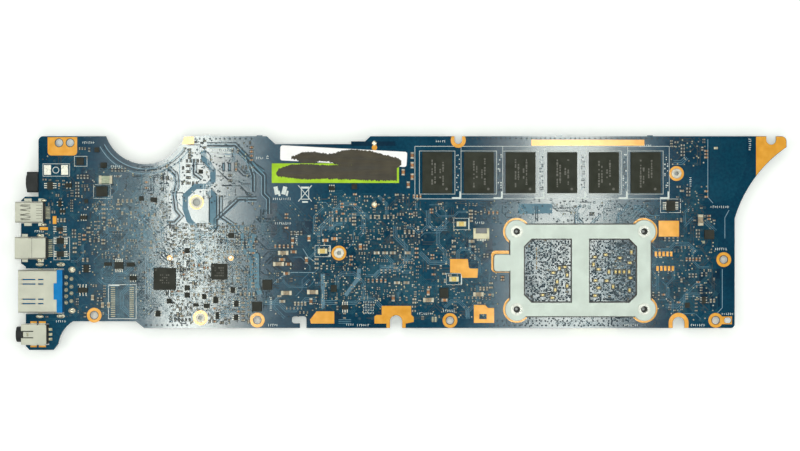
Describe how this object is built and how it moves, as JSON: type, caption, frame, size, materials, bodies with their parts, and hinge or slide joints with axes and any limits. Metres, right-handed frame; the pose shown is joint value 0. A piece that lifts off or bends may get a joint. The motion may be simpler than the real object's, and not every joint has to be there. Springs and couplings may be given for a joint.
{
  "type": "laptop main circuit board",
  "caption": "Slim laptop main circuit board with memory chips, heatsink backplate, edge ports, gold grounding lands and flip-latch cable sockets.",
  "frame": {"origin": "middle of the footprint, on the plane that the tallest parts of the lower face stand on", "axes": "+X along the length towards the pointed tab, +Y towards the edge with the fan notch, +Z out of the face with the memory chips"},
  "size_m": [0.2399, 0.0668, 0.0057],
  "materials": {
    "laminate": "glossy blue solder mask on glass-epoxy laminate",
    "gold": "immersion-gold plated copper",
    "plate_steel": "satin nickel-plated sheet steel",
    "black_film": "thin polyester insulating film",
    "tinned_brass": "tin-plated turned brass",
    "package_black": "moulded epoxy package",
    "tin": "bright tin",
    "ferrite_green": "ferrite with a grey-green coat",
    "ceramic_tan": "fired ceramic, tan",
    "lamp_yellow": "yellow cast resin",
    "ivory_plastic": "ivory moulded nylon",
    "grey_plastic": "dark grey moulded nylon",
    "shell_steel": "bright nickel-plated sheet steel",
    "blue_plastic": "bright blue moulded nylon",
    "black_plastic": "black moulded nylon",
    "white_paper": "white coated label",
    "green_paper": "lime green coated label",
    "substrate": "green solder mask",
    "silicon": "polished silicon",
    "ferrite_grey": "pressed iron powder"
  },
  "bodies": {
    "board": {"audio_jack_contacts": "gold", "audio_jack_cover": "shell_steel", "audio_jack_housing": "black_plastic", "backplate": "plate_steel", "backplate_film": "black_film", "backplate_studs": "tinned_brass", "battery_socket": "ivory_plastic", "bulk_capacitors": "package_black", "capacitor_bodies": "ceramic_tan", "capacitor_ends": "tin", "card_socket_contacts": "gold", "charge_controller": "package_black", "chipset_die": "silicon", "chipset_substrate": "substrate", "circuit_board": "laminate", "display_cable_socket": "black_plastic", "display_port_contacts": "gold", "display_port_insulator": "black_plastic", "display_port_shell": "shell_steel", "drive_socket": "black_plastic", "gold_lands": "gold", "green_label": "green_paper", "gull_leads": "tin", "gull_packages": "package_black", "input_choke": "ferrite_green", "input_choke_caps": "tin", "io_board_socket_housing": "ivory_plastic", "keyboard_socket_housing": "ivory_plastic", "lamp_bases": "ivory_plastic", "lamp_lenses": "lamp_yellow", "leadless_packages": "package_black", "lower_controllers": "package_black", "lower_memory_chips": "package_black", "lower_socket_contacts": "tin", "memory_chips": "package_black", "micro_hdmi_contacts": "gold", "micro_hdmi_insulator": "black_plastic", "micro_hdmi_shell": "shell_steel", "power_inductors": "ferrite_grey", "power_jack_housing": "black_plastic", "power_jack_pin": "tin", "power_mosfets": "package_black", "processor_die": "silicon", "processor_substrate": "substrate", "radio_socket": "black_plastic", "sensor_socket_contacts": "tin", "sensor_socket_housing": "ivory_plastic", "solder_nuts": "tinned_brass", "system_controller": "package_black", "touchpad_socket_housing": "ivory_plastic", "usb_contacts": "gold", "usb_insulator": "blue_plastic", "usb_shell": "shell_steel", "white_label": "white_paper", "wire_sockets": "ivory_plastic"},
    "sensor_latch": {"sensor_socket_latch": "grey_plastic"},
    "keyboard_latch": {"keyboard_socket_latch": "grey_plastic"},
    "touchpad_latch": {"touchpad_socket_latch": "grey_plastic"},
    "io_board_latch": {"io_board_socket_latch": "grey_plastic"}
  },
  "joints": [
    {"name": "sensor_latch_hinge", "type": "hinge", "parent": "board", "child": "sensor_latch", "pos_m": [0.0249, 0.0032, 0.00422], "axis": [1, 0, 0], "range_deg": [0, 90]},
    {"name": "keyboard_latch_hinge", "type": "hinge", "parent": "board", "child": "keyboard_latch", "pos_m": [-0.018, -0.01895, 0.00198], "axis": [1, 0, 0], "range_deg": [0, 90]},
    {"name": "touchpad_latch_hinge", "type": "hinge", "parent": "board", "child": "touchpad_latch", "pos_m": [0.022, -0.01735, 0.00198], "axis": [1, 0, 0], "range_deg": [0, 90]},
    {"name": "io_board_latch_hinge", "type": "hinge", "parent": "board", "child": "io_board_latch", "pos_m": [0.09735, 0.0185, 0.00198], "axis": [0, 1, 0], "range_deg": [0, 90]}
  ]
}
